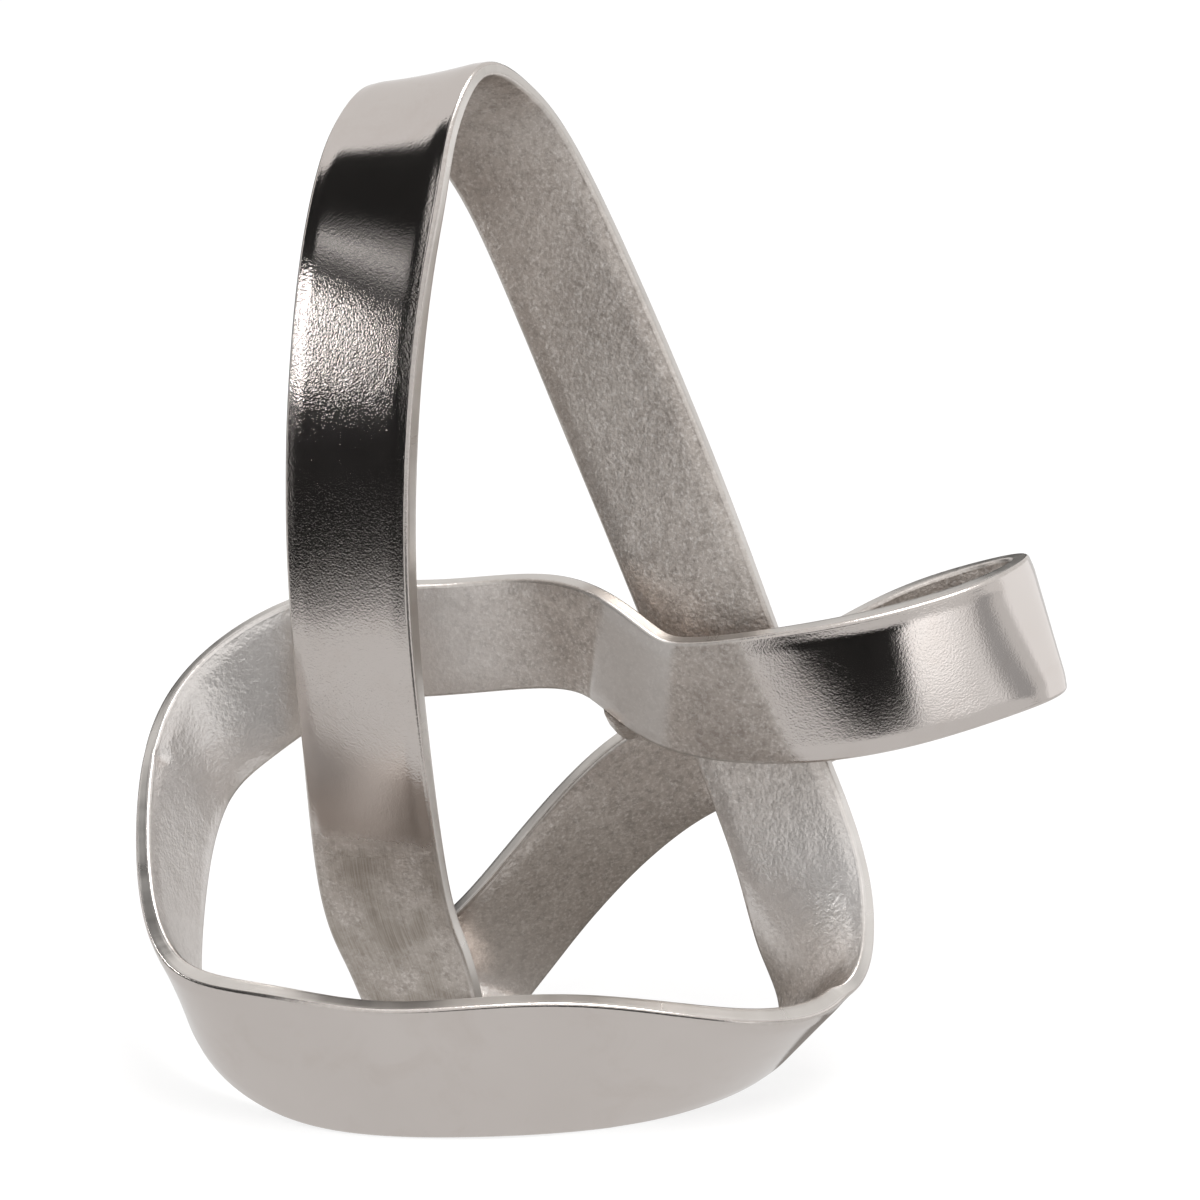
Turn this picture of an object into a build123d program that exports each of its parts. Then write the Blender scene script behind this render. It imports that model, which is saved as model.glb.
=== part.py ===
"""Metal knot sculpture: one flat cast ribbon tied as a one-sided trefoil and welded shut.

The ribbon is cast in seven lengths. Each length is a loft through flat sections that stand square
to the ribbon's middle line. A welded joint fills the short gap between one length and the next,
and three fillets of weld hold the strands together where they cross at the hub.
The frame has X to the right, Y to the back and Z up, with the origin in the middle of the
footprint on the table.
"""
from build123d import *
import os

HEIGHT = 254.0
RIBBON_WIDTH = 36.0
RIM_THICKNESS = 5.0
FACE_RISE = 0.45
BEVEL_WIDTH = 5.0
CORNER_CUT = 0.6
WELD_LENGTH = 3.6
BEAD_LENGTH = 9.0
BEAD_WIDTH = 8.0
BEAD_SEAT = 0.3

SECTION_STEP = 4.5

# Each station of the middle line: its place in hundredths of the height, then the direction from
# the ribbon's one edge to its other edge, then the shares of the width and of the thickness.
STATION_SHARES = [
    ("front_mid",     -19.0,  -24.0,  7.25, -0.06, -0.23,  0.97, 1.03, 1.05),
    ("front_left",    -30.6,  -20.9,   7.9, -0.06, -0.34,  0.94, 1.08, 1.05),
    ("corner_left",   -39.3,  -15.0,  10.7, -0.05, -0.68,  0.72, 1.00, 1.00),
    ("bow_low",       -42.0,   -8.3,  19.2, -0.34, -0.80,  0.49, 0.86, 0.92),
    ("bow_mid",       -40.9,   -2.0,  29.4, -0.54, -0.58,  0.62, 0.86, 0.90),
    ("bow_high",      -35.7,    2.0,  36.2, -0.52, -0.21,  0.83, 0.93, 0.90),
    ("bow_rear",      -26.5,    4.6,  41.0, -0.21, -0.17,  0.96, 0.92, 0.90),
    ("rear_mid",      -16.1,    5.4,  42.0, -0.06, -0.16,  0.99, 0.87, 0.90),
    ("rear_right",     -6.5,    4.1,  43.0, -0.16, -0.18,  0.97, 0.87, 0.90),
    ("crease",         -0.6,    1.0,  42.6, -0.02, -0.32,  0.95, 0.90, 0.92),
    ("cradle",          3.6,   -1.6,  40.2,  0.13, -0.37,  0.92, 0.86, 0.95),
    ("saddle",          8.8,   -4.1,  38.5, -0.02, -0.24,  0.96, 0.90, 0.95),
    ("loop_front",     18.0,   -6.9, 39.35, -0.13, -0.14,  0.98, 0.99, 1.00),
    ("loop_bright",    28.1,   -7.4,  41.2, -0.20, -0.15,  0.97, 1.03, 1.05),
    ("loop_right",     37.8,   -4.9,  43.5, -0.15, -0.08,  0.98, 1.02, 1.05),
    ("loop_end",       43.3,    0.4,  44.6, -0.29,  0.08,  0.97, 1.01, 1.00),
    ("loop_turn",      40.3,    6.0,  43.1, -0.31,  0.05,  0.95, 0.97, 1.00),
    ("loop_back",      31.9,    7.4,  40.1, -0.41, -0.05,  0.91, 0.95, 1.00),
    ("loop_root",      22.3,    7.6,  35.0, -0.39, -0.19,  0.90, 0.95, 1.00),
    ("strap_top",      12.9,    7.2,  30.7, -0.40, -0.32,  0.86, 0.96, 1.00),
    ("strap_high",      4.7,    7.2,  26.0, -0.57, -0.44,  0.69, 1.03, 1.00),
    ("strap_mid",      -3.6,    8.4,  17.2, -0.70, -0.50,  0.50, 1.01, 1.00),
    ("strap_low",     -10.4,    9.3,   8.7, -0.80, -0.36,  0.44, 0.97, 1.00),
    ("foot_back",     -14.4,    9.4,   4.3, -0.82,  0.10,  0.42, 0.95, 1.00),
    ("foot",          -17.0,    5.7,   0.9, -0.86,  0.51,  0.00, 0.95, 1.00),
    ("foot_front",    -18.0,    2.2,   4.4, -0.89,  0.44, -0.06, 0.96, 1.00),
    ("leg_root",      -19.6,    1.0,  10.3, -0.91,  0.41, -0.11, 0.99, 1.00),
    ("leg_low",       -21.6,    0.0,  17.3, -0.91,  0.40, -0.13, 1.00, 1.02),
    ("leg_bright",    -23.1,   -2.2,  32.6, -0.90,  0.44, -0.02, 0.98, 1.05),
    ("leg_mid",       -24.1,   -3.6,  48.2, -0.88,  0.47,  0.00, 0.98, 1.10),
    ("leg_dark",      -23.9,   -4.7,  64.4, -0.88,  0.48,  0.08, 0.99, 1.10),
    ("leg_high",      -22.5,   -5.5,  79.2, -0.88,  0.45,  0.14, 0.98, 1.05),
    ("crown_left",    -20.8,   -4.9,  88.6, -0.89,  0.43,  0.10, 0.96, 0.95),
    ("crown_rise",    -19.2,   -2.8,  94.3, -0.88,  0.45, -0.06, 0.92, 0.85),
    ("crown",         -16.1,    1.6, 97.85, -0.82,  0.44, -0.22, 0.92, 0.80),
    ("crown_fall",    -12.0,    6.2,  94.2, -0.87,  0.32, -0.38, 0.92, 0.85),
    ("arm_high",       -7.1,    8.0,  86.7, -0.85,  0.28, -0.44, 0.91, 0.90),
    ("arm_mid",        0.45,    5.7,  70.0, -0.85,  0.27, -0.46, 0.94, 0.95),
    ("arm_hub",         7.6,    2.2,  52.9, -0.87,  0.28, -0.41, 0.93, 0.95),
    ("arm_under",      13.9,   -0.2,  36.8, -0.88,  0.28, -0.39, 0.90, 0.95),
    ("arm_low",        19.2,   -4.0,  23.4, -0.85,  0.34, -0.41, 0.94, 1.00),
    ("corner_high",    21.2,   -6.6,  14.6, -0.70,  0.52, -0.49, 0.97, 1.05),
    ("corner",         20.6,  -10.3,   7.5, -0.37,  0.69, -0.62, 0.94, 1.02),
    ("front_right",    11.8,  -18.7,  6.35, -0.24,  0.56, -0.79, 1.04, 1.05),
    ("front_bulge",    -3.8,  -23.5,   7.6, -0.08,  0.26, -0.96, 1.08, 1.05),
]

# The seams in order round the knot: the weld, its station and the cast length that follows it.
SEAM_SHARES = [
    ("weld_left_bow",      4.00, "rear_band"),
    ("weld_hub_front",    10.55, "right_loop"),
    ("weld_loop_turn",    16.40, "loop_return"),
    ("weld_strap_top",    19.70, "strap_foot"),
    ("weld_leg_low",      27.35, "left_leg"),
    ("weld_crown",        34.15, "right_leg"),
    ("weld_right_corner", 42.00, "front_band"),
]

# The beads at the hub, each laid from a spot on one strand to a spot on another. A spot is a station
# and a share of the half width; at a share of 1 or -1 the bead sits on the rim, else on the face.
BEAD_SHARES = [
    ("weld_saddle_leg", (11.60, -0.60), (39.24, 0.00)),
    ("weld_strap_leg", (18.95, 0.80), (38.97, 0.62)),
    ("weld_rear_strap", (9.98, -1.00), (19.72, 1.00)),
]
BEAD_BULGE_SHARE = 1.12

COUNT = len(STATION_SHARES)
SPAN = HEIGHT / 100


def slopes(values, flip):
    """Slopes of the smooth closed curve through the values; flip is -1 where a tour turns them over."""
    last = len(values) - 1
    found = [values[0] * 0.0] * len(values)
    for _ in range(60):
        for i in range(len(values)):
            after = values[i + 1] if i < last else values[0] * flip
            before = values[i - 1] if i > 0 else values[last] * flip
            slope_after = found[i + 1] if i < last else found[0] * flip
            slope_before = found[i - 1] if i > 0 else found[last] * flip
            found[i] = ((after - before) * 3.0 - slope_after - slope_before) * 0.25
    return found


def curve(values, found, flip, s):
    """Value and slope at station s, which may be past the last station."""
    turns, s = divmod(s, COUNT)
    i = min(int(s), COUNT - 1)
    f = s - i
    sign = flip if turns % 2 else 1.0
    last = i == COUNT - 1
    a, b = values[i], values[0] * flip if last else values[i + 1]
    p, q = found[i], found[0] * flip if last else found[i + 1]
    value = a * (1 + 2 * f) * (1 - f) ** 2 + p * f * (1 - f) ** 2 + b * f * f * (3 - 2 * f) - q * f * f * (1 - f)
    slope = (b - a) * 6 * f * (1 - f) + p * (1 - f) * (1 - 3 * f) + q * f * (3 * f - 2)
    return value * sign, slope * sign


PLACES = [Vector(row[1], row[2], row[3]) * SPAN for row in STATION_SHARES]
ACROSS = [Vector(row[4], row[5], row[6]).normalized() for row in STATION_SHARES]
WIDE = [row[7] for row in STATION_SHARES]
THICK = [row[8] for row in STATION_SHARES]
PLACE_SLOPES = slopes(PLACES, 1.0)
ACROSS_SLOPES = slopes(ACROSS, -1.0)
WIDE_SLOPES = slopes(WIDE, 1.0)
THICK_SLOPES = slopes(THICK, 1.0)


def frame_at(s):
    """Middle point, direction along, direction across, direction through, width and thickness shares."""
    centre, along = curve(PLACES, PLACE_SLOPES, 1.0, s)
    across, _ = curve(ACROSS, ACROSS_SLOPES, -1.0, s)
    along = along.normalized()
    across = (across - along * across.dot(along)).normalized()
    through = across.cross(along)
    wide, _ = curve(WIDE, WIDE_SLOPES, 1.0, s)
    thick, _ = curve(THICK, THICK_SLOPES, 1.0, s)
    return centre, along, across, through, wide, thick


def section(s):
    """Closed outline of the ribbon at station s: flat rims, cut corners, bevels and raised faces."""
    centre, _, across, through, wide, thick = frame_at(s)
    half = RIBBON_WIDTH * wide / 2
    rim = RIM_THICKNESS * thick / 2
    cut = CORNER_CUT * thick
    rise = FACE_RISE * thick
    flat = half - BEVEL_WIDTH * wide
    corner = [(half, rim - cut), (half - cut, rim), (flat, rim + rise)]
    ring = [(u, v) for u, v in corner]
    ring += [(-u, v) for u, v in reversed(corner)]
    ring += [(-u, -v) for u, v in corner]
    ring += [(u, -v) for u, v in reversed(corner)]
    return Wire.make_polygon([centre + across * u + through * v for u, v in ring], close=True)


def weld_share(s):
    """Half the weld's length at station s, in station steps."""
    _, slope = curve(PLACES, PLACE_SLOPES, 1.0, s)
    return WELD_LENGTH / 2 / slope.length


def even_stations(first, last, step):
    """Stations from first to last that stand about one step apart along the middle line."""
    fine = 500
    tries = [first + (last - first) * k / fine for k in range(fine + 1)]
    places = [curve(PLACES, PLACE_SLOPES, 1.0, s)[0] for s in tries]
    ways = [0.0]
    for a, b in zip(places, places[1:]):
        ways.append(ways[-1] + (b - a).length)
    count = max(2, round(ways[-1] / step))
    inner = [min(range(fine), key=lambda i: abs(ways[i] - ways[-1] * k / count)) for k in range(1, count)]
    return [first] + [tries[i] for i in inner] + [last]


def stretch(first, last, step):
    """Solid length of ribbon between two stations."""
    return Solid.make_loft([section(s) for s in even_stations(first, last, step)])


def cast_length(start, end):
    return stretch(start + weld_share(start), end - weld_share(end), SECTION_STEP)


def seam_weld(s):
    return stretch(s - weld_share(s), s + weld_share(s), WELD_LENGTH / 2)


def spot_on(s, share):
    """Point on the ribbon's middle surface at station s, at a share of the half width."""
    centre, _, across, _, wide, _ = frame_at(s)
    return centre + across * (RIBBON_WIDTH * wide / 2 * share)


def seat(s, share, toward):
    """Point just clear of the ribbon's face or rim, and the direction out of it toward another point."""
    centre, _, across, through, wide, thick = frame_at(s)
    if abs(share) == 1:
        out = across * share
        return spot_on(s, share) + out * BEAD_SEAT, out
    out = through if (toward - centre).dot(through) > 0 else through * -1
    return spot_on(s, share) + out * ((RIM_THICKNESS / 2 + FACE_RISE) * thick + BEAD_SEAT), out


def bead_ring(point, out, way, share):
    """Oval outline of a bead, square to the direction out, with its long side along the way."""
    way = (way - out * way.dot(out)).normalized()
    plane = Plane(origin=point, x_dir=way, z_dir=out)
    return Wire.make_ellipse(BEAD_LENGTH / 2 * share, BEAD_WIDTH / 2 * share, plane)


def bead(first_spot, last_spot):
    """Bulging bead of weld between two strands, a little clear of both."""
    start, start_out = seat(*first_spot, spot_on(*last_spot))
    end, end_out = seat(*last_spot, spot_on(*first_spot))
    _, way, _, _, _, _ = frame_at(first_spot[0])
    rings = [
        bead_ring(start, start_out, way, 1),
        bead_ring((start + end) / 2, (start_out - end_out).normalized(), way, BEAD_BULGE_SHARE),
        bead_ring(end, end_out * -1, way, 1),
    ]
    return Solid.make_loft(rings)


solids = {}
following = SEAM_SHARES[1:] + [(None, SEAM_SHARES[0][1] + COUNT, None)]
for (weld_name, s, length_name), (_, end, _) in zip(SEAM_SHARES, following):
    solids[weld_name] = seam_weld(s)
    solids[length_name] = cast_length(s, end)
for name, first_spot, last_spot in BEAD_SHARES:
    solids[name] = bead(first_spot, last_spot)

# The table side is ground flat where the knot stands.
reach = HEIGHT * 2
below_table = Box(reach, reach, HEIGHT, align=(Align.CENTER, Align.CENTER, Align.MAX))
for name, solid in solids.items():
    if solid.bounding_box().min.Z < 0:
        solids[name] = solid - below_table

outline = Compound(children=[Compound(solid.wrapped) for solid in solids.values()]).bounding_box()
middle = Vector((outline.min.X + outline.max.X) / 2, (outline.min.Y + outline.max.Y) / 2, 0)

os.makedirs("parts", exist_ok=True)
for name, solid in solids.items():
    placed = Pos(-middle.X, -middle.Y, 0) * solid
    placed.label = name
    export_step(placed, f"parts/{name}.step")
print("footprint middle", middle, "size", outline.size)
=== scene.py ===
"""Metal knot sculpture: the looks of the one-sided cast ribbon, its welds and its plain studio.

The ribbon is built again as one smooth skin from the same stations as the solids, in metres, and cut
into one piece for each cast length and each seam weld. Every point carries a few shares that drive
the metal's finish: polished outside, sand-cast inside, filed rims, brushed low on the left leg and
ground smooth at the hub.
"""

import math

import bpy
import numpy as np
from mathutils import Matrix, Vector, noise


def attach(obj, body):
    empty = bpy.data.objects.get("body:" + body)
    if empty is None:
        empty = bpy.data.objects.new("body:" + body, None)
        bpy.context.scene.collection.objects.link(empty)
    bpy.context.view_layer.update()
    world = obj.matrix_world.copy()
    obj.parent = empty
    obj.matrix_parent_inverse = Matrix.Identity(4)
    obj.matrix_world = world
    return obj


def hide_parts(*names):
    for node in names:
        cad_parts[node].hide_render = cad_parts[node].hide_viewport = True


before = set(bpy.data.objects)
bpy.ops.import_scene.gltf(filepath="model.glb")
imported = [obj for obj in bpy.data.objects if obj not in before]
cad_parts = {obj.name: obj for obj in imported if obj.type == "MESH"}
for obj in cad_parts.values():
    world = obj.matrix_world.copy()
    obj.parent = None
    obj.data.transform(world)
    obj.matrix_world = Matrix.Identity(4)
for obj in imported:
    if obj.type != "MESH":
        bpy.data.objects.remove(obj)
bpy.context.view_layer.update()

MM = 0.001
HEIGHT = 0.254
RIBBON_WIDTH = 36 * MM
RIM_THICKNESS = 5 * MM
FACE_RISE = 0.40 * MM
BEVEL_WIDTH = 5 * MM
CORNER_RADIUS = 1.1 * MM
WELD_LENGTH = 3.6 * MM
RING_STEP = 0.9 * MM
SKIN_INSET = 0.05 * MM
CURVE_TRIES = 4000

# Points round the section: insets from the edge, shares of the half width, angles at the corner in
# degrees and shares of the rim's height
FACE_INSETS = [inset * MM for inset in (1.1, 1.5, 2.0, 2.6, 3.3, 4.1, 5.0, 6.2, 7.6)]
FLAT_SHARES = (0.40, 0.27, 0.14)
CORNER_ANGLES = (67.5, 45.0, 22.5)
RIM_SHARES = (1.0, 0.55, 0.0, -0.55, -1.0)
FACE_ROUNDNESS = 1.2

# How much of the rim's filed finish each kind of point has
RIM_FINISH = {"rim": 1.0, "corner": 0.5, "face": 0.0, "flat": 0.0, "middle": 0.0}

# Each station of the middle line: its place in hundredths of the height, the direction across the
# ribbon, and the shares of the width and of the thickness.
STATIONS = [
    ("front_mid", -19.0, -24.0, 7.25, -0.06, -0.23, 0.97, 1.03, 1.05),
    ("front_left", -30.6, -20.9, 7.9, -0.06, -0.34, 0.94, 1.08, 1.05),
    ("corner_left", -39.3, -15.0, 10.7, -0.05, -0.68, 0.72, 1.00, 1.00),
    ("bow_low", -42.0, -8.3, 19.2, -0.34, -0.80, 0.49, 0.86, 0.92),
    ("bow_mid", -40.9, -2.0, 29.4, -0.54, -0.58, 0.62, 0.86, 0.90),
    ("bow_high", -35.7, 2.0, 36.2, -0.52, -0.21, 0.83, 0.93, 0.90),
    ("bow_rear", -26.5, 4.6, 41.0, -0.21, -0.17, 0.96, 0.92, 0.90),
    ("rear_mid", -16.1, 5.4, 42.0, -0.06, -0.16, 0.99, 0.87, 0.90),
    ("rear_right", -6.5, 4.1, 43.0, -0.16, -0.18, 0.97, 0.87, 0.90),
    ("crease", -0.6, 1.0, 42.6, -0.02, -0.32, 0.95, 0.90, 0.92),
    ("cradle", 3.6, -1.6, 40.2, 0.13, -0.37, 0.92, 0.86, 0.95),
    ("saddle", 8.8, -4.1, 38.5, -0.02, -0.24, 0.96, 0.90, 0.95),
    ("loop_front", 18.0, -6.9, 39.35, -0.13, -0.14, 0.98, 0.99, 1.00),
    ("loop_bright", 28.1, -7.4, 41.2, -0.20, -0.15, 0.97, 1.03, 1.05),
    ("loop_right", 37.8, -4.9, 43.5, -0.15, -0.08, 0.98, 1.02, 1.05),
    ("loop_end", 43.3, 0.4, 44.6, -0.29, 0.08, 0.97, 1.01, 1.00),
    ("loop_turn", 40.3, 6.0, 43.1, -0.31, 0.05, 0.95, 0.97, 1.00),
    ("loop_back", 31.9, 7.4, 40.1, -0.41, -0.05, 0.91, 0.95, 1.00),
    ("loop_root", 22.3, 7.6, 35.0, -0.39, -0.19, 0.90, 0.95, 1.00),
    ("strap_top", 12.9, 7.2, 30.7, -0.40, -0.32, 0.86, 0.96, 1.00),
    ("strap_high", 4.7, 7.2, 26.0, -0.57, -0.44, 0.69, 1.03, 1.00),
    ("strap_mid", -3.6, 8.4, 17.2, -0.70, -0.50, 0.50, 1.01, 1.00),
    ("strap_low", -10.4, 9.3, 8.7, -0.80, -0.36, 0.44, 0.97, 1.00),
    ("foot_back", -14.4, 9.4, 4.3, -0.82, 0.10, 0.42, 0.95, 1.00),
    ("foot", -17.0, 5.7, 0.9, -0.86, 0.51, 0.00, 0.95, 1.00),
    ("foot_front", -18.0, 2.2, 4.4, -0.89, 0.44, -0.06, 0.96, 1.00),
    ("leg_root", -19.6, 1.0, 10.3, -0.91, 0.41, -0.11, 0.99, 1.00),
    ("leg_low", -21.6, 0.0, 17.3, -0.91, 0.40, -0.13, 1.00, 1.02),
    ("leg_bright", -23.1, -2.2, 32.6, -0.90, 0.44, -0.02, 0.98, 1.05),
    ("leg_mid", -24.1, -3.6, 48.2, -0.88, 0.47, 0.00, 0.98, 1.10),
    ("leg_dark", -23.9, -4.7, 64.4, -0.88, 0.48, 0.08, 0.99, 1.10),
    ("leg_high", -22.5, -5.5, 79.2, -0.88, 0.45, 0.14, 0.98, 1.05),
    ("crown_left", -20.8, -4.9, 88.6, -0.89, 0.43, 0.10, 0.96, 0.95),
    ("crown_rise", -19.2, -2.8, 94.3, -0.88, 0.45, -0.06, 0.92, 0.85),
    ("crown", -16.1, 1.6, 97.85, -0.82, 0.44, -0.22, 0.92, 0.80),
    ("crown_fall", -12.0, 6.2, 94.2, -0.87, 0.32, -0.38, 0.92, 0.85),
    ("arm_high", -7.1, 8.0, 86.7, -0.85, 0.28, -0.44, 0.91, 0.90),
    ("arm_mid", 0.45, 5.7, 70.0, -0.85, 0.27, -0.46, 0.94, 0.95),
    ("arm_hub", 7.6, 2.2, 52.9, -0.87, 0.28, -0.41, 0.93, 0.95),
    ("arm_under", 13.9, -0.2, 36.8, -0.88, 0.28, -0.39, 0.90, 0.95),
    ("arm_low", 19.2, -4.0, 23.4, -0.85, 0.34, -0.41, 0.94, 1.00),
    ("corner_high", 21.2, -6.6, 14.6, -0.70, 0.52, -0.49, 0.97, 1.05),
    ("corner", 20.6, -10.3, 7.5, -0.37, 0.69, -0.62, 0.94, 1.02),
    ("front_right", 11.8, -18.7, 6.35, -0.24, 0.56, -0.79, 1.04, 1.05),
    ("front_bulge", -3.8, -23.5, 7.6, -0.08, 0.26, -0.96, 1.08, 1.05),
]

# The seams in order round the knot: the weld, its station and the cast length that follows it.
SEAMS = [
    ("weld_left_bow", 4.00, "rear_band"),
    ("weld_hub_front", 10.55, "right_loop"),
    ("weld_loop_turn", 16.40, "loop_return"),
    ("weld_strap_top", 19.70, "strap_foot"),
    ("weld_leg_low", 27.35, "left_leg"),
    ("weld_crown", 34.15, "right_leg"),
    ("weld_right_corner", 42.00, "front_band"),
]

# The beads at the hub, each laid from a spot on one strand to a spot on another. A spot is a station
# and a share of the half width; at a share of 1 or -1 the bead sits on the rim, else on the face.
BEADS = [
    ("weld_saddle_leg", (11.60, -0.60), (39.24, 0.00)),
    ("weld_strap_leg", (18.95, 0.80), (38.97, 0.62)),
    ("weld_rear_strap", (9.98, -1.00), (19.72, 1.00)),
]
BEAD_LENGTH = 9 * MM
BEAD_WIDTH = 8 * MM
BEAD_BULGE = 1.10
BEAD_BITE = 0.5 * MM
BEAD_AROUND = 64
BEAD_ROW = 0.4 * MM
BEAD_ROWS_LEAST = 12
BEAD_SHRINK = 0.03
BEAD_RIPPLE = 0.02
BEAD_RIPPLES = 9
BEAD_RIPPLE_TWIST = 2.2
BEAD_LUMP_SIZE = 3 * MM
BEAD_LUMP_DEPTH = 0.2 * MM

# Where the two faces swap their finishes, because the ribbon has turned over, in stations
TURNOVER = 11.85
TURNOVER_SLANT = 0.17
TURNOVER_BLEND = 0.10

# The brushed stretch low on the left leg, and the filler at the hub: station and blend at each end
BRUSHED_STRETCH = ((23.45, 0.25), (27.45, 0.12))
FILLED_STRETCH = ((9.15, 0.10), (10.75, 0.10))

# Crease where the rear band was bent to meet the hub
CREASE = 9.12
CREASE_SLANT = 0.10
CREASE_SPREAD = 0.05
CREASE_DEPTH = 0.22 * MM

# Dents in the sand-cast faces: station, place as a share of the half width, the spreads of both, depth
DENTS = [
    (4.05, 0.84, 0.05, 0.16, 0.7 * MM),
    (19.74, -0.15, 0.03, 0.30, 0.35 * MM),
    (19.42, -0.60, 0.03, 0.35, 0.45 * MM),
    (10.60, -0.35, 0.015, 0.50, 0.35 * MM),
]

# Unevenness of the faces, as the size of a patch and its depth
WAVE_SIZE = 16 * MM
POLISHED_WAVE = 0.05 * MM
CAST_WAVE = 0.16 * MM
LUMP_SIZE = 5 * MM
LUMP_DEPTH = 0.05 * MM
FILLED_SMOOTHNESS = 0.7
WELD_RIPPLE = 0.05 * MM
WELD_RIPPLE_WAVE = 2 * math.pi * 0.9 * MM
WELD_RIPPLE_BOW = 2.0

# Each unevenness is taken at its own place in the noise, so that no two look alike
WAVE_SHIFT = 3.1
LUMP_SHIFT = 7.7
BEAD_SHIFT = 1.3

# Stretches of the sand-cast faces with painted shade (below 0) or painted light (above 0): middle,
# spread and strength, the first two in stations
PAINTED_SHADE_AND_LIGHT = [
    (11.3, 0.5, -0.6),
    (35.0, 1.2, -0.55),
    (40.4, 0.7, 1.0),
    (3.5, 1.4, 1.0),
    (6.2, 1.4, 1.0),
    (22.4, 0.7, 0.5),
    (26.3, 0.9, -0.3),
]

# Stretches of the sand-cast faces that were rubbed shinier, in the same form
SHINY = [(39.9, 0.9, 0.3), (21.5, 1.2, 0.4), (5.0, 0.9, 0.6)]

# Stretches of the polished faces with more cast grain, in the same form, and the grain elsewhere
GRAINY = [
    (30.6, 0.45, 0.75),
    (29.6, 0.45, 0.30),
    (28.3, 0.25, 0.45),
    (11.9, 0.25, 0.5),
    (13.6, 0.30, 0.35),
]
PLAIN_GRAIN = 0.25

COUNT = len(STATIONS)
TABLE = np.array([row[1:] for row in STATIONS])


def unit(v):
    """The same directions, each 1 long."""
    return v / np.linalg.norm(v, axis=-1, keepdims=True)


class ClosedCurve:
    """Smooth closed curve through the station values; flip is -1 where one tour turns them over."""

    def __init__(self, values, flip):
        self.values = values
        self.flip = flip
        after = np.roll(values, -1, axis=0)
        before = np.roll(values, 1, axis=0)
        after[-1] *= flip
        before[0] *= flip
        beside = np.eye(COUNT, k=1) + np.eye(COUNT, k=-1)
        beside[0, -1] = beside[-1, 0] = flip
        self.slopes = np.linalg.solve(beside + 4 * np.eye(COUNT), 3 * (after - before))

    def at(self, s):
        """Values and slopes at the stations s."""
        turn = np.floor(s / COUNT).astype(int)
        local = s - turn * COUNT
        i = np.minimum(local.astype(int), COUNT - 1)
        f = (local - i)[:, None]
        sign = np.where(turn % 2 == 0, 1.0, self.flip)[:, None]
        end = np.where(i == COUNT - 1, self.flip, 1.0)[:, None]
        a, p = self.values[i], self.slopes[i]
        b, q = self.values[(i + 1) % COUNT] * end, self.slopes[(i + 1) % COUNT] * end
        value = a * (1 + 2 * f) * (1 - f) ** 2 + p * f * (1 - f) ** 2
        value += b * f * f * (3 - 2 * f) - q * f * f * (1 - f)
        slope = (b - a) * 6 * f * (1 - f) + p * (1 - f) * (1 - 3 * f) + q * f * (3 * f - 2)
        return value * sign, slope * sign


PLACE = ClosedCurve(TABLE[:, 0:3] * HEIGHT / 100, 1.0)
ACROSS = ClosedCurve(unit(TABLE[:, 3:6]), -1.0)
SHARES = ClosedCurve(TABLE[:, 6:8].copy(), 1.0)


def frames(s):
    """Centres, directions along, across and through, half widths and half thicknesses at s."""
    centre, along = PLACE.at(s)
    along = unit(along)
    across = ACROSS.at(s)[0]
    across = unit(across - along * np.sum(across * along, axis=1, keepdims=True))
    through = np.cross(across, along)
    share = SHARES.at(s)[0]
    return centre, along, across, through, RIBBON_WIDTH * share[:, 0] / 2, RIM_THICKNESS * share[:, 1] / 2


def knot_middle():
    """Middle of the knot's footprint box, which the solids have as their origin."""
    centre, _, across, through, half, rim = frames(np.linspace(0, COUNT, CURVE_TRIES))
    corners = []
    for edge in (-1, 1):
        for side in (-1, 1):
            corners.append(centre + across * (half * edge)[:, None] + through * (rim * side)[:, None])
    corners = np.concatenate(corners)
    middle = (corners.min(axis=0) + corners.max(axis=0)) / 2
    return np.array([middle[0], middle[1], 0.0])


ORIGIN = knot_middle()


def even_stations(first, last, step):
    """Stations from first to last, evenly spread along the middle line, and their distances."""
    tries = np.linspace(first, last, CURVE_TRIES)
    places = PLACE.at(tries)[0]
    ways = np.concatenate([[0], np.cumsum(np.linalg.norm(np.diff(places, axis=0), axis=1))])
    count = max(3, int(round(ways[-1] / step)))
    spots = np.linspace(0, ways[-1], count + 1)
    return np.interp(spots, ways, tries), spots


def smooth_step(low, high, x):
    """0 at low and 1 at high, with a smooth change between them; low may be the greater."""
    t = np.clip((x - low) / (high - low), 0, 1)
    return t * t * (3 - 2 * t)


def within(s, stretch):
    """1 in a stretch of stations, fading to 0 over the blend at each of its ends."""
    (first, first_blend), (last, last_blend) = stretch
    started = smooth_step(first - first_blend, first + first_blend, s)
    return started * smooth_step(last + last_blend, last - last_blend, s)


def near(value, middle, spread):
    """1 at the middle, fading to 0 over the spread on both sides."""
    return np.exp(-((value - middle) / spread) ** 2)


def near_station(s, middle, spread):
    """1 at one station, fading to 0 over the spread on both sides, whatever the tour."""
    return near((s - middle + COUNT / 2) % COUNT, COUNT / 2, spread)


def by_station(s, spots):
    """Sum of the strengths of a list of spots along the ribbon."""
    return sum(strength * near_station(s, middle, spread) for middle, spread, strength in spots)


def wobble(points, size, shift):
    """Smooth unevenness between -1 and 1 at each point, in patches of the given size."""
    flat = points.reshape(-1, 3) / size
    found = [noise.noise(Vector((p[0] + shift, p[1] - shift, p[2] + 2 * shift))) for p in flat]
    return np.array(found).reshape(points.shape[:-1])


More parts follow.
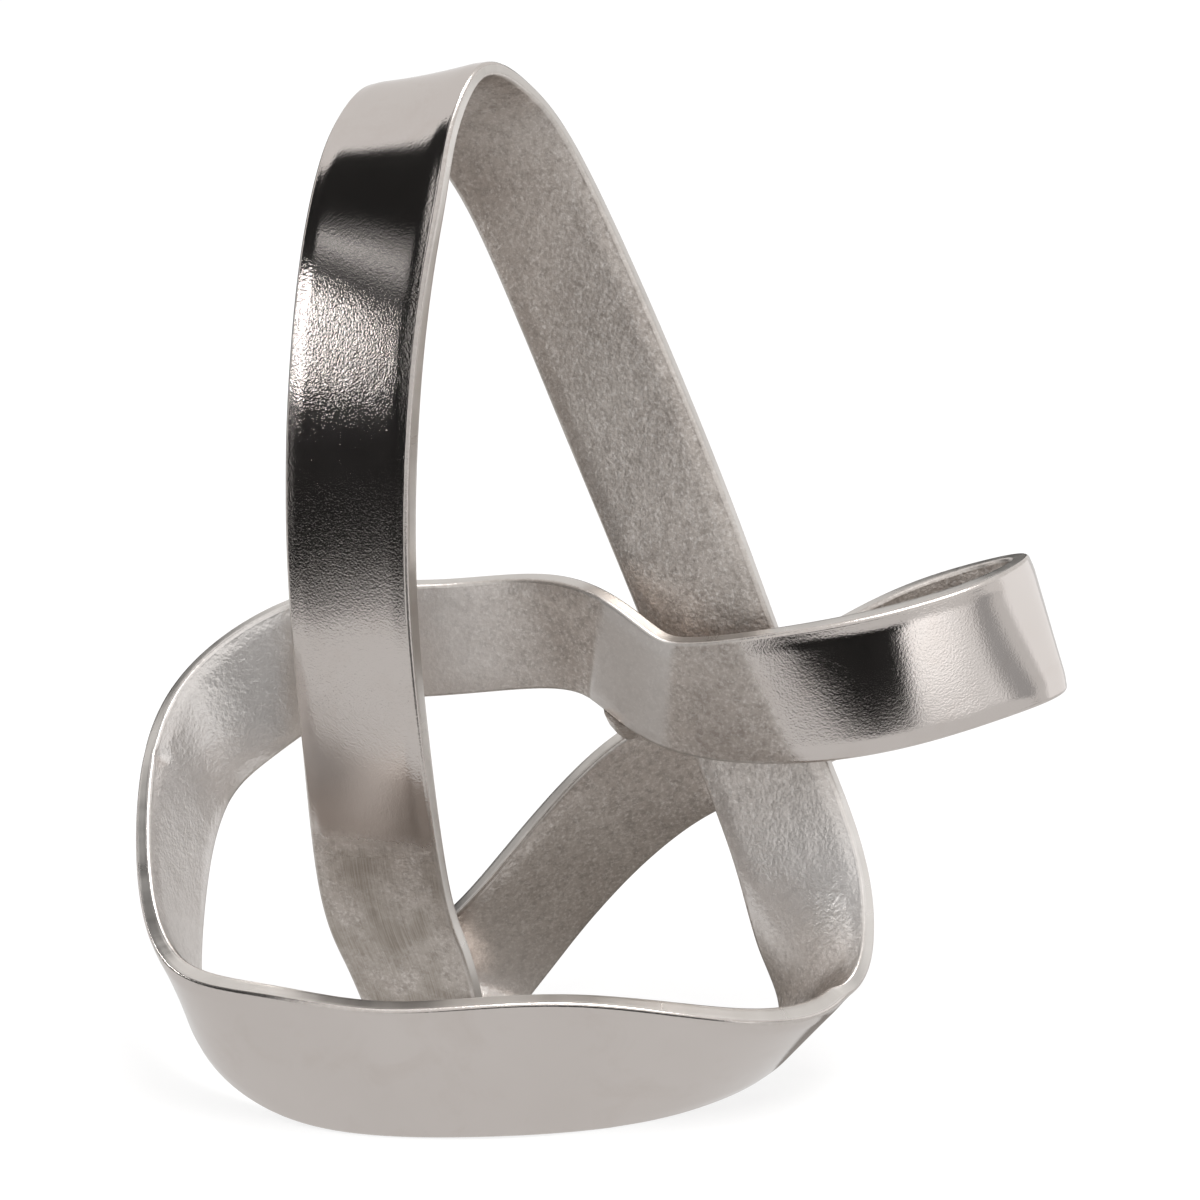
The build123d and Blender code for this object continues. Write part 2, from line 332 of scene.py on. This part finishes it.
def ring_profile():
    """Points round one section, each as its kind, its value, its edge and its side."""
    face = [("face", inset) for inset in FACE_INSETS] + [("flat", share) for share in FLAT_SHARES]
    quarter = face[::-1] + [("corner", angle) for angle in CORNER_ANGLES]
    ring = [("middle", 0.0, 1, 1)]
    ring += [(kind, value, 1, 1) for kind, value in quarter]
    ring += [("rim", share, 1, 0) for share in RIM_SHARES]
    ring += [(kind, value, 1, -1) for kind, value in quarter[::-1]]
    ring += [("middle", 0.0, 1, -1)]
    ring += [(kind, value, -1, -1) for kind, value in quarter]
    ring += [("rim", -share, -1, 0) for share in RIM_SHARES]
    ring += [(kind, value, -1, 1) for kind, value in quarter[::-1]]
    return ring


RING = ring_profile()


def place_in_section(kind, value, edge, side, half, rim):
    """Distances across and through the ribbon of one point of the section."""
    if kind == "rim":
        return half * edge, (rim - CORNER_RADIUS) * value
    if kind == "corner":
        angle = math.radians(value)
        across = half - CORNER_RADIUS + CORNER_RADIUS * math.cos(angle)
        return across * edge, (rim - CORNER_RADIUS + CORNER_RADIUS * math.sin(angle)) * side
    if kind == "face":
        lift = min(1.0, (value - CORNER_RADIUS) / (BEVEL_WIDTH - CORNER_RADIUS))
        rise = FACE_RISE * math.sin(lift * math.pi / 2) ** FACE_ROUNDNESS
        return (half - value) * edge, (rim + rise) * side
    return half * value * edge, (rim + FACE_RISE) * side


def skin_points(s):
    """Points of the skin at the stations s, their sides, distances across and shares of rim finish.

    After these come the directions along and through, and the half widths, at each station.
    """
    centre, along, across, through, half, rim = frames(s)
    half = half - SKIN_INSET
    rim = rim - SKIN_INSET
    points, sides, offsets, rims = [], [], [], []
    for kind, value, edge, side in RING:
        u, v = place_in_section(kind, value, edge, side, half, rim)
        points.append(centre + across * u[:, None] + through * v[:, None])
        sides.append(np.full(len(s), float(side)))
        offsets.append(u)
        rims.append(np.full(len(s), RIM_FINISH[kind]))
    stacks = [np.stack(columns, axis=1) for columns in (points, sides, offsets, rims)]
    return (*stacks, along, through, half)


def grid_normals(points):
    """Outward direction at each point of a grid of rings, from its neighbours on every side."""
    ahead = unit(np.roll(points, -1, axis=1) - points)
    behind = unit(points - np.roll(points, 1, axis=1))
    return unit(np.cross(ahead + behind, np.gradient(points, axis=0)))


def add_piece(node, rings, normals, ends, shares, material):
    """Closed tube through the rings in a CAD node's place, with its finish shares as point values.

    Its two flat ends have their own points, so the sides stay smooth up to the joint.
    """
    name = node + "_skin"
    count, around = rings.shape[:2]
    faces = []
    for i in range(count - 1):
        for j in range(around):
            k = (j + 1) % around
            faces.append((i * around + j, i * around + k, (i + 1) * around + k, (i + 1) * around + j))
    first_cap, last_cap = count * around, (count + 1) * around
    faces.append(tuple(first_cap + j for j in reversed(range(around))))
    faces.append(tuple(last_cap + j for j in range(around)))
    points = np.concatenate([rings.reshape(-1, 3), rings[0], rings[-1]]) - ORIGIN
    points[:, 2] = np.maximum(points[:, 2], 0.0)
    flat = np.ones((around, 1))
    directions = np.concatenate([normals.reshape(-1, 3), flat * ends[0], flat * ends[1]])
    mesh = bpy.data.meshes.new(name)
    mesh.from_pydata(points.tolist(), [], faces)
    mesh.update()
    for share, values in shares.items():
        layer = mesh.attributes.new(share, "FLOAT", "POINT")
        values = np.concatenate([values, values[:1], values[-1:]])
        layer.data.foreach_set("value", values.astype(np.float32).ravel())
    mesh.polygons.foreach_set("use_smooth", [True] * len(mesh.polygons))
    mesh.normals_split_custom_set_from_vertices(directions.tolist())
    mesh.materials.append(material)
    piece = bpy.data.objects.new(name, mesh)
    bpy.context.scene.collection.objects.link(piece)
    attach(piece, "root")
    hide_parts(node)


def outer_share(s, side, place):
    """1 on the polished face and 0 on the sand-cast one; they swap sides where the ribbon turns over."""
    edge = TURNOVER - TURNOVER_SLANT * place
    past = smooth_step(edge - TURNOVER_BLEND, edge + TURNOVER_BLEND, s)
    early = np.where(side > 0, 1.0, 0.0)
    late = np.where(side < 0, 1.0, 0.0)
    return early * (1 - past) + late * past


def face_rise(points, s, side, place, cast, polish, fill):
    """How far each point of the faces stands out, which is never above 0."""
    wave = wobble(points, WAVE_SIZE, WAVE_SHIFT) - 1
    lumps = wobble(points, LUMP_SIZE, LUMP_SHIFT) - 1
    rise = wave * (POLISHED_WAVE * polish + CAST_WAVE * cast)
    rise += lumps * cast * (1 - FILLED_SMOOTHNESS * fill) * LUMP_DEPTH
    crease = near_station(s, CREASE - CREASE_SLANT * place, CREASE_SPREAD)
    rise -= crease * cast * (side < 0) * CREASE_DEPTH
    # The direction across the ribbon is reversed on the second tour
    tour = np.where(s < COUNT, 1.0, -1.0)
    for station, share, long_spread, wide_spread, depth in DENTS:
        dent = near_station(s, station, long_spread) * near(tour * place, share, wide_spread)
        rise -= dent * cast * depth
    return rise


def weld_ripple(rings, offset, cast):
    """Shallow bowed ripples over a seam weld, which die out at its two ends."""
    middle = np.abs(np.linspace(-1, 1, rings))[:, None]
    phase = 2 * math.pi * offset / WELD_RIPPLE_WAVE + WELD_RIPPLE_BOW * middle
    return WELD_RIPPLE * cast * (np.cos(phase) - 1) * (1 - middle ** 2) ** 2


def ribbon_piece(node, first, last, material, weld):
    """Skin of the ribbon between two stations, closed at both ends."""
    inner, ways = even_stations(first, last, RING_STEP)
    step = ways[1]
    # One more ring past each end gives the end rings their directions
    stations = np.concatenate([[2 * inner[0] - inner[1]], inner, [2 * inner[-1] - inner[-2]]])
    ways = np.concatenate([[-step], ways, [ways[-1] + step]])
    points, side, offset, rim, along, through, half = skin_points(stations)
    rings, around = points.shape[:2]
    s = np.repeat(stations[:, None], around, axis=1)
    place = offset / half[:, None]
    brush = within(s, BRUSHED_STRETCH) * (side < 0)
    fill = within(s, FILLED_STRETCH) * (side < 0)
    polish = outer_share(s, side, place) * (1 - rim) * (1 - brush)
    cast = (1 - polish) * (1 - rim)
    rise = face_rise(points, s, side, place, cast, polish, fill)
    if weld:
        rise += weld_ripple(rings, offset, cast)
    facing = through[:, None, :] * side[:, :, None]
    points = points + facing * rise[:, :, None]
    shares = {
        "polish": polish,
        "rim": rim,
        "brush": brush,
        "fill": fill,
        "grain": PLAIN_GRAIN + by_station(s, GRAINY),
        # Next share: painted shade (below 0) and painted light (above 0) along the sand-cast stretches
        "shade_and_light": by_station(s, PAINTED_SHADE_AND_LIGHT),
        "shine": by_station(s, SHINY),
        "along": np.repeat(ways[:, None], around, axis=1),
        "across": offset,
    }
    shares = {share: values[1:-1] for share, values in shares.items()}
    ends = (-along[1], along[-2])
    add_piece(node, points[1:-1], grid_normals(points)[1:-1], ends, shares, material)


def spot_on(s, share):
    """Point on the ribbon's middle surface."""
    centre, _, across, _, half, _ = frames(np.array([s]))
    return centre[0] + across[0] * half[0] * share


def seat(s, share, toward):
    """Point a little inside the ribbon's face or rim, and the direction out of it toward another point."""
    centre, _, across, through, _, rim = frames(np.array([s]))
    if abs(share) == 1:
        out = across[0] * share
        return spot_on(s, share) - out * BEAD_BITE, out
    out = through[0] * np.sign(np.dot(toward - centre[0], through[0]))
    return spot_on(s, share) + out * (rim[0] + FACE_RISE - BEAD_BITE), out


def bead_piece(node, first_spot, last_spot, material):
    """Bulging, rippled bead of weld between two strands."""
    start, start_out = seat(*first_spot, spot_on(*last_spot))
    end, end_out = seat(*last_spot, spot_on(*first_spot))
    lay = frames(np.array([first_spot[0]]))[1][0]
    rows = max(BEAD_ROWS_LEAST, int(np.linalg.norm(end - start) / BEAD_ROW))
    turn = np.linspace(0, 2 * math.pi, BEAD_AROUND, endpoint=False)
    points = []
    for step in np.linspace(0, 1, rows):
        out = unit(start_out * (1 - step) - end_out * step)
        x = unit(lay - out * np.dot(lay, out))
        y = np.cross(out, x)
        swell = math.sin(math.pi * step)
        ripple = BEAD_RIPPLE * np.cos(turn * BEAD_RIPPLES + BEAD_RIPPLE_TWIST * swell)
        size = (1 + (BEAD_BULGE - 1) * swell) * (1 + ripple - BEAD_SHRINK)
        circle = x * (np.cos(turn) * BEAD_LENGTH / 2 * size)[:, None]
        circle = circle + y * (np.sin(turn) * BEAD_WIDTH / 2 * size)[:, None]
        points.append(start * (1 - step) + end * step + circle)
    points = np.array(points)
    outward = unit(points - (start + end) / 2)
    lumps = (wobble(points, BEAD_LUMP_SIZE, BEAD_SHIFT) - 1) * BEAD_LUMP_DEPTH
    points = points + outward * lumps[:, :, None]
    plain = ("polish", "rim", "brush", "fill", "shade_and_light", "shine", "along", "across")
    shares = {share: np.zeros((rows, BEAD_AROUND)) for share in plain}
    shares["grain"] = np.ones((rows, BEAD_AROUND))
    ends = (-start_out, -end_out)
    add_piece(node, points, grid_normals(points), ends, shares, material)


# Materials
class Graph:
    """Short way to add and link shader nodes."""

    def __init__(self, name):
        self.material = bpy.data.materials.new(name)
        self.material.use_nodes = True
        self.tree = self.material.node_tree
        self.tree.nodes.clear()

    def add(self, kind, inputs, output=0, **settings):
        """New node with its settings and inputs, given as one of its output sockets."""
        node = self.tree.nodes.new(kind)
        for key, value in settings.items():
            setattr(node, key, value)
        for key, value in inputs.items():
            if isinstance(value, bpy.types.NodeSocket):
                self.tree.links.new(value, node.inputs[key])
            else:
                node.inputs[key].default_value = value
        return node.outputs[output]

    def share(self, name):
        """One of the finish shares that the points carry."""
        return self.add("ShaderNodeAttribute", {}, output=2, attribute_name=name, attribute_type="GEOMETRY")

    def noise(self, vector, scale, detail=3.0, roughness=0.5, distortion=0.0):
        inputs = {"Vector": vector, "Scale": scale, "Detail": detail, "Roughness": roughness}
        inputs["Distortion"] = distortion
        return self.add("ShaderNodeTexNoise", inputs)

    def ramp(self, value, low, high, to_low=0.0, to_high=1.0):
        inputs = {"Value": value, "From Min": low, "From Max": high, "To Min": to_low, "To Max": to_high}
        return self.add("ShaderNodeMapRange", inputs, clamp=True)

    def plus(self, a, b):
        return self.add("ShaderNodeMath", {0: a, 1: b}, operation="ADD")

    def times(self, a, b):
        return self.add("ShaderNodeMath", {0: a, 1: b}, operation="MULTIPLY")

    def mix(self, factor, a, b):
        return self.add("ShaderNodeMix", {0: factor, 2: a, 3: b}, data_type="FLOAT")

    def blend(self, factor, a, b):
        return self.add("ShaderNodeMix", {0: factor, 6: a, 7: b}, output=2, data_type="RGBA")

    def stretched(self, scales):
        """Coordinates that run along and across the ribbon, for brush and file marks."""
        along = self.times(self.share("along"), scales[0])
        across = self.times(self.share("across"), scales[1])
        return self.add("ShaderNodeCombineXYZ", {"X": along, "Y": across})


def rgba(r, g, b):
    return (r, g, b, 1.0)


def tinted(colour, tint):
    return rgba(colour[0] * tint, colour[1] * tint, colour[2] * tint)


CAST_PALE = rgba(0.60, 0.55, 0.51)
CAST_SOOTY = rgba(0.46, 0.41, 0.375)
# Dark colour of the random mottling, and also of the painted shade on the darker sand-cast stretches
CAST_MOTTLE_AND_SHADE = rgba(0.27, 0.235, 0.21)
CAST_GRAIN = rgba(0.86, 0.82, 0.79)
# Colour of the painted light on the brighter sand-cast stretches
CAST_PAINTED_LIGHT = rgba(0.93, 0.90, 0.88)
FILLER = rgba(0.66, 0.635, 0.615)
BRUSHED_DARK = rgba(0.26, 0.225, 0.19)
BRUSHED_PALE = rgba(0.44, 0.40, 0.36)
RIM_DULL = rgba(0.56, 0.53, 0.50)
RIM_BRIGHT = rgba(0.72, 0.69, 0.66)
POLISHED_DULL = rgba(0.565, 0.52, 0.493)
POLISHED_BRIGHT = rgba(0.635, 0.593, 0.568)
STAIN = rgba(0.50, 0.435, 0.395)

# Noise scales per metre; the pairs are along and across the ribbon
SOOT_SCALE = 30.0
MOTTLE_SCALE = 420.0
SPECK_SCALE = 1050.0
BRUSH_PATCH_SCALE = 38.0
STROKE_SCALES = (60.0, 2200.0)
MARK_SCALES = (70.0, 100.0)
LINE_SCALES = (120.0, 2600.0)
CLOUD_SCALE = 28.0
STAIN_SCALE = 70.0
COARSE_SCALE = 230.0
FINE_SCALE = 1100.0
HAMMERED_SCALE = 1700.0

# Bump heights, as shares of a millimetre
CAST_COARSE_HEIGHT = 0.20
CAST_FINE_HEIGHT = 0.12
FILLED_HEIGHT = 0.06
STROKE_HEIGHT = 0.05
LINE_HEIGHT = 0.012
HAMMERED_HEIGHT = 0.10
POLISHED_COARSE_HEIGHT = 0.008

# Roughness of each finish, between two values where it varies
CAST_ROUGH = (0.34, 0.46)
SHINY_ROUGH = 0.24
FILLED_ROUGH = 0.42
RIM_ROUGH = (0.26, 0.38)
POLISHED_ROUGH = (0.06, 0.12)


def cast_finish(g, place, tint, grain):
    """Sand-cast skin: faint sooty patches, a fine pale grain, stretches of painted shade or painted light,
    and rubbed stretches.
    """
    soot = g.ramp(g.noise(place, SOOT_SCALE, 4.0, 0.6, 0.4), 0.40, 0.75)
    speck = g.noise(place, SPECK_SCALE, 3.0, 0.7)
    mottle = g.noise(place, MOTTLE_SCALE, 4.0, 0.7)
    shade_and_light = g.share("shade_and_light")
    colour = g.blend(soot, tinted(CAST_PALE, tint), tinted(CAST_SOOTY, tint))
    colour = g.blend(g.ramp(mottle, 0.46, 0.66, 0.0, 0.55), colour, CAST_MOTTLE_AND_SHADE)
    colour = g.blend(g.ramp(speck, 0.48, 0.72, 0.0, 0.75), colour, CAST_GRAIN)
    # Painted shade where the stretches' share is below 0, and painted light where it is above 0
    colour = g.blend(g.ramp(shade_and_light, -1.0, 0.0, 0.6, 0.0), colour, CAST_MOTTLE_AND_SHADE)
    colour = g.blend(g.ramp(shade_and_light, 0.0, 1.0, 0.0, 0.90), colour, CAST_PAINTED_LIGHT)
    rough = g.mix(g.share("shine"), g.ramp(mottle, 0.3, 0.7, *CAST_ROUGH), SHINY_ROUGH)
    coarse = g.times(g.noise(place, COARSE_SCALE, 3.0, 0.6), CAST_COARSE_HEIGHT * grain)
    fine = g.times(g.noise(place, FINE_SCALE, 2.0, 0.55), CAST_FINE_HEIGHT * grain)
    return colour, rough, g.plus(coarse, fine)


def filled(g, finish):
    """The finish with the hub's smooth ground filler over it."""
    colour, rough, height = finish
    fill = g.share("fill")
    colour = g.blend(g.times(fill, 0.75), colour, FILLER)
    rough = g.mix(fill, rough, FILLED_ROUGH)
    return colour, rough, g.mix(g.times(fill, 0.7), height, FILLED_HEIGHT)


def brushed(g, place, finish):
    """The finish with patches of brush strokes over its brushed stretch."""
    colour, rough, height = finish
    patches = g.ramp(g.noise(place, BRUSH_PATCH_SCALE, 3.0, 0.6), 0.44, 0.58, 0.15, 0.9)
    amount = g.times(g.share("brush"), patches)
    strokes = g.noise(g.stretched(STROKE_SCALES), 1.0, 4.0, 0.65)
    stroke_colour = g.blend(g.ramp(strokes, 0.35, 0.68), BRUSHED_DARK, BRUSHED_PALE)
    height = g.mix(amount, height, g.times(strokes, STROKE_HEIGHT))
    return g.blend(amount, colour, stroke_colour), rough, height


def rim_finish(g):
    """Filed rims: pale, with fine marks along the ribbon."""
    marks = g.noise(g.stretched(MARK_SCALES), 1.0, 3.0, 0.6)
    lines = g.noise(g.stretched(LINE_SCALES), 1.0, 3.0, 0.6)
    colour = g.blend(g.ramp(marks, 0.3, 0.7, 0.25, 0.75), RIM_DULL, RIM_BRIGHT)
    return colour, g.ramp(lines, 0.3, 0.7, *RIM_ROUGH), g.times(lines, LINE_HEIGHT)


def polished_finish(g, place):
    """Polished face: slight clouding, faint stains, and a fine grain that breaks up the reflections."""
    cloud = g.noise(place, CLOUD_SCALE, 3.0, 0.5)
    stains = g.ramp(g.noise(place, STAIN_SCALE, 5.0, 0.65, 0.6), 0.52, 0.74, 0.0, 0.25)
    colour = g.blend(stains, g.blend(cloud, POLISHED_DULL, POLISHED_BRIGHT), STAIN)
    hammered = g.noise(place, HAMMERED_SCALE, 3.0, 0.6)
    hammered = g.times(hammered, g.times(g.share("grain"), HAMMERED_HEIGHT))
    coarse = g.times(g.noise(place, COARSE_SCALE, 3.0, 0.6), POLISHED_COARSE_HEIGHT)
    return colour, g.ramp(cloud, 0.3, 0.75, *POLISHED_ROUGH), g.plus(hammered, coarse)


def over(g, amount, under, top):
    """One finish laid over another by an amount between 0 and 1."""
    colour = g.blend(amount, under[0], top[0])
    return colour, g.mix(amount, under[1], top[1]), g.mix(amount, under[2], top[2])


def knot_metal(name, tint, grain):
    """Cast white metal whose finish follows the shares that its points carry."""
    g = Graph(name)
    place = g.add("ShaderNodeTexCoord", {}, output=3)
    finish = brushed(g, place, filled(g, cast_finish(g, place, tint, grain)))
    finish = over(g, g.share("rim"), finish, rim_finish(g))
    colour, rough, height = over(g, g.share("polish"), finish, polished_finish(g, place))
    bump = g.add("ShaderNodeBump", {"Height": height, "Strength": 1.0, "Distance": MM})
    inputs = {"Base Color": colour, "Metallic": 1.0, "Roughness": rough, "Normal": bump}
    shader = g.add("ShaderNodeBsdfPrincipled", inputs)
    surface = g.tree.nodes.new("ShaderNodeOutputMaterial")
    g.tree.links.new(shader, surface.inputs["Surface"])
    return g.material


CAST_METAL = knot_metal("knot_cast_metal", 1.0, 1.0)
WELD_METAL = knot_metal("knot_weld_metal", 0.97, 1.2)


# Pieces
def half_weld(s):
    """Half a seam weld's length at station s, in station steps."""
    return WELD_LENGTH / 2 / np.linalg.norm(PLACE.at(np.array([s]))[1][0])


following = SEAMS[1:] + [(None, SEAMS[0][1] + COUNT, None)]
for (weld_node, s, length_node), (_, end, _) in zip(SEAMS, following):
    ribbon_piece(weld_node, s - half_weld(s), s + half_weld(s), WELD_METAL, True)
    ribbon_piece(length_node, s + half_weld(s), end - half_weld(end), CAST_METAL, False)
for bead_node, first_spot, last_spot in BEADS:
    bead_piece(bead_node, first_spot, last_spot, WELD_METAL)


# Studio
STUDIO_ROUGH = 0.9
FLOOR_SIZE = 14.0
FLOOR_GAP = 0.1 * MM
STUDIO_WHITE = (1.0, 0.99, 0.98)
WORLD_STRENGTH = 0.90


def plain_material(name, colour, glow):
    """Matt studio surface that isn't part of the object, with the strength of its own light."""
    material = bpy.data.materials.new(name)
    material.use_nodes = True
    shader = material.node_tree.nodes["Principled BSDF"]
    shader.inputs["Base Color"].default_value = colour
    shader.inputs["Roughness"].default_value = STUDIO_ROUGH
    shader.inputs["Emission Color"].default_value = rgba(1.0, 1.0, 1.0)
    shader.inputs["Emission Strength"].default_value = glow
    return material


def sheet(name, corners, material):
    """Flat staged sheet between four corners."""
    mesh = bpy.data.meshes.new(name)
    mesh.from_pydata(corners, [], [(0, 1, 2, 3)])
    mesh.materials.append(material)
    flat = bpy.data.objects.new(name, mesh)
    bpy.context.scene.collection.objects.link(flat)
    return flat


def floor_sheet(name, height, material):
    """Large level sheet at a height."""
    reach = FLOOR_SIZE / 2
    corners = [(x * reach, y * reach, height) for x, y in ((-1, -1), (1, -1), (1, 1), (-1, 1))]
    return sheet(name, corners, material)


def only_mirrored(flat):
    """Leave a sheet to show only as a reflection in the metal."""
    flat.visible_camera = False
    flat.visible_diffuse = False
    flat.visible_shadow = False


def card(name, left, right, bottom, left_top, right_top, material):
    """Upright card between two floor points that shows only as a reflection."""
    corners = [(*left, bottom), (*right, bottom), (*right, right_top), (*left, left_top)]
    only_mirrored(sheet(name, corners, material))


bpy.context.scene.view_settings.view_transform = "Standard"

BLACK = rgba(0.0, 0.0, 0.0)
FLOOR = plain_material("studio_floor", rgba(0.25, 0.25, 0.25), 0.76)
DULL_FLOOR = plain_material("studio_dull_floor", rgba(0.74, 0.735, 0.73), 0.05)
SHADE = plain_material("studio_shade", rgba(0.30, 0.28, 0.26), 0.0)
DARK = plain_material("studio_dark", rgba(0.004, 0.004, 0.004), 0.0)
FAINT_GLOW = plain_material("studio_faint_glow", BLACK, 0.11)
SOFT_GLOW = plain_material("studio_soft_glow", BLACK, 0.26)
DIM = plain_material("studio_dim", BLACK, 0.45)
SIDE_GLOW = plain_material("studio_side_glow", BLACK, 1.15)
GLOW = plain_material("studio_glow", BLACK, 1.6)
LAMP = plain_material("studio_lamp", BLACK, 22.0)

# The camera sees a white floor, and the metal mirrors a duller one just below it
floor_sheet("floor", 0.0, FLOOR).visible_glossy = False
only_mirrored(floor_sheet("dull_floor", -FLOOR_GAP, DULL_FLOOR))

# Painted shadow: dark sheet on the floor inside the knot, where the knot's own shade falls, which the strap
# mirrors
shade_corners = [(-0.05, 0.0, 0.0), (0.07, 0.0, 0.0), (0.07, 0.08, 0.0), (-0.05, 0.08, 0.0)]
only_mirrored(sheet("shade_inside", shade_corners, SHADE))

# Cards that the polished faces mirror: their left and right floor points, the height of their bottom,
# the heights of their left and right top corners, and their material. The dark ones left and in front
# make the black reflections, and the dark ones behind give the back the same contrast. The bright ones
# make the white spots on the leg and on the side loop.
CARDS = [
    ("dark_far_left", (-0.41, -0.02), (-0.37, -0.12), 0.0, 0.26, 0.40, DARK),
    ("dark_left", (-0.37, -0.12), (-0.20, -0.23), 0.0, 0.40, 0.80, DARK),
    ("dark_front_left", (-0.07, -0.25), (0.005, -0.163), 0.0, 0.07, 0.07, DARK),
    ("dark_front", (0.005, -0.163), (0.10, -0.142), 0.0, 0.07, 0.07, DARK),
    ("dark_front_right", (0.10, -0.142), (0.145, -0.155), 0.0, 0.07, 0.07, DARK),
    ("dim_right", (0.34, -0.17), (0.37, -0.11), 0.0, 0.12, 0.12, DIM),
    ("dark_back_left", (-0.62, 0.28), (-0.30, 0.58), 0.0, 0.36, 0.36, DARK),
    ("dark_back", (-0.02, 0.62), (0.22, 0.58), 0.0, 0.42, 0.42, DARK),
    ("dark_back_right", (0.52, 0.46), (0.66, 0.20), 0.0, 0.32, 0.32, DARK),
    ("glow_loop", (0.155, -0.17), (0.26, -0.19), 0.0, 0.07, 0.07, GLOW),
    ("glow_right", (0.27, -0.195), (0.33, -0.185), 0.0, 0.07, 0.07, SIDE_GLOW),
    ("glow_far_right", (0.44, -0.06), (0.38, 0.40), 0.0, 0.25, 0.25, SIDE_GLOW),
    ("lamp_leg", (-0.383, -0.080), (-0.348, -0.128), 0.134, 0.158, 0.158, LAMP),
    ("faint_leg", (-0.335, -0.138), (-0.285, -0.169), 0.132, 0.162, 0.162, FAINT_GLOW),
    ("patch_leg_near", (-0.276, -0.150), (-0.235, -0.176), 0.195, 0.250, 0.250, SOFT_GLOW),
    ("patch_leg_far", (-0.301, -0.130), (-0.290, -0.146), 0.190, 0.238, 0.238, SOFT_GLOW),
    ("streak_leg", (-0.296, -0.130), (-0.250, -0.155), 0.217, 0.224, 0.224, GLOW),
]
for row in CARDS:
    card(*row)

world = bpy.data.worlds.new("studio_world")
world.use_nodes = True
background = world.node_tree.nodes["Background"]
background.inputs["Color"].default_value = rgba(*STUDIO_WHITE)
background.inputs["Strength"].default_value = WORLD_STRENGTH
bpy.context.scene.world = world

# Soft square light above and to the right of the camera
KEY_PLACE = Vector((0.30, -0.60, 1.45))
KEY_AIM = Vector((0.0, 0.0, 0.1))
key_data = bpy.data.lights.new("key", "AREA")
key_data.shape = "SQUARE"
key_data.size = 0.7
key_data.energy = 14.0
key_data.color = STUDIO_WHITE
key = bpy.data.objects.new("key", key_data)
key.location = KEY_PLACE
key.rotation_mode = "QUATERNION"
key.rotation_quaternion = (KEY_PLACE - KEY_AIM).to_track_quat("Z", "Y")
bpy.context.scene.collection.objects.link(key)

# Camera at the photo's angle: 14 degrees above, aimed at the middle of the knot
CAMERA_DISTANCE = 1.0
CAMERA_ANGLE = math.radians(14.0)
AIM_HEIGHT = 0.120
aim = Vector((-ORIGIN[0], -ORIGIN[1], AIM_HEIGHT))
camera_data = bpy.data.cameras.new("camera")
camera_data.sensor_width = 36.0
camera_data.lens = 120.0
camera = bpy.data.objects.new("camera", camera_data)
camera.location = aim + Vector((0, -math.cos(CAMERA_ANGLE), math.sin(CAMERA_ANGLE))) * CAMERA_DISTANCE
camera.rotation_mode = "QUATERNION"
camera.rotation_quaternion = (camera.location - aim).to_track_quat("Z", "Y")
bpy.context.scene.collection.objects.link(camera)
bpy.context.scene.camera = camera
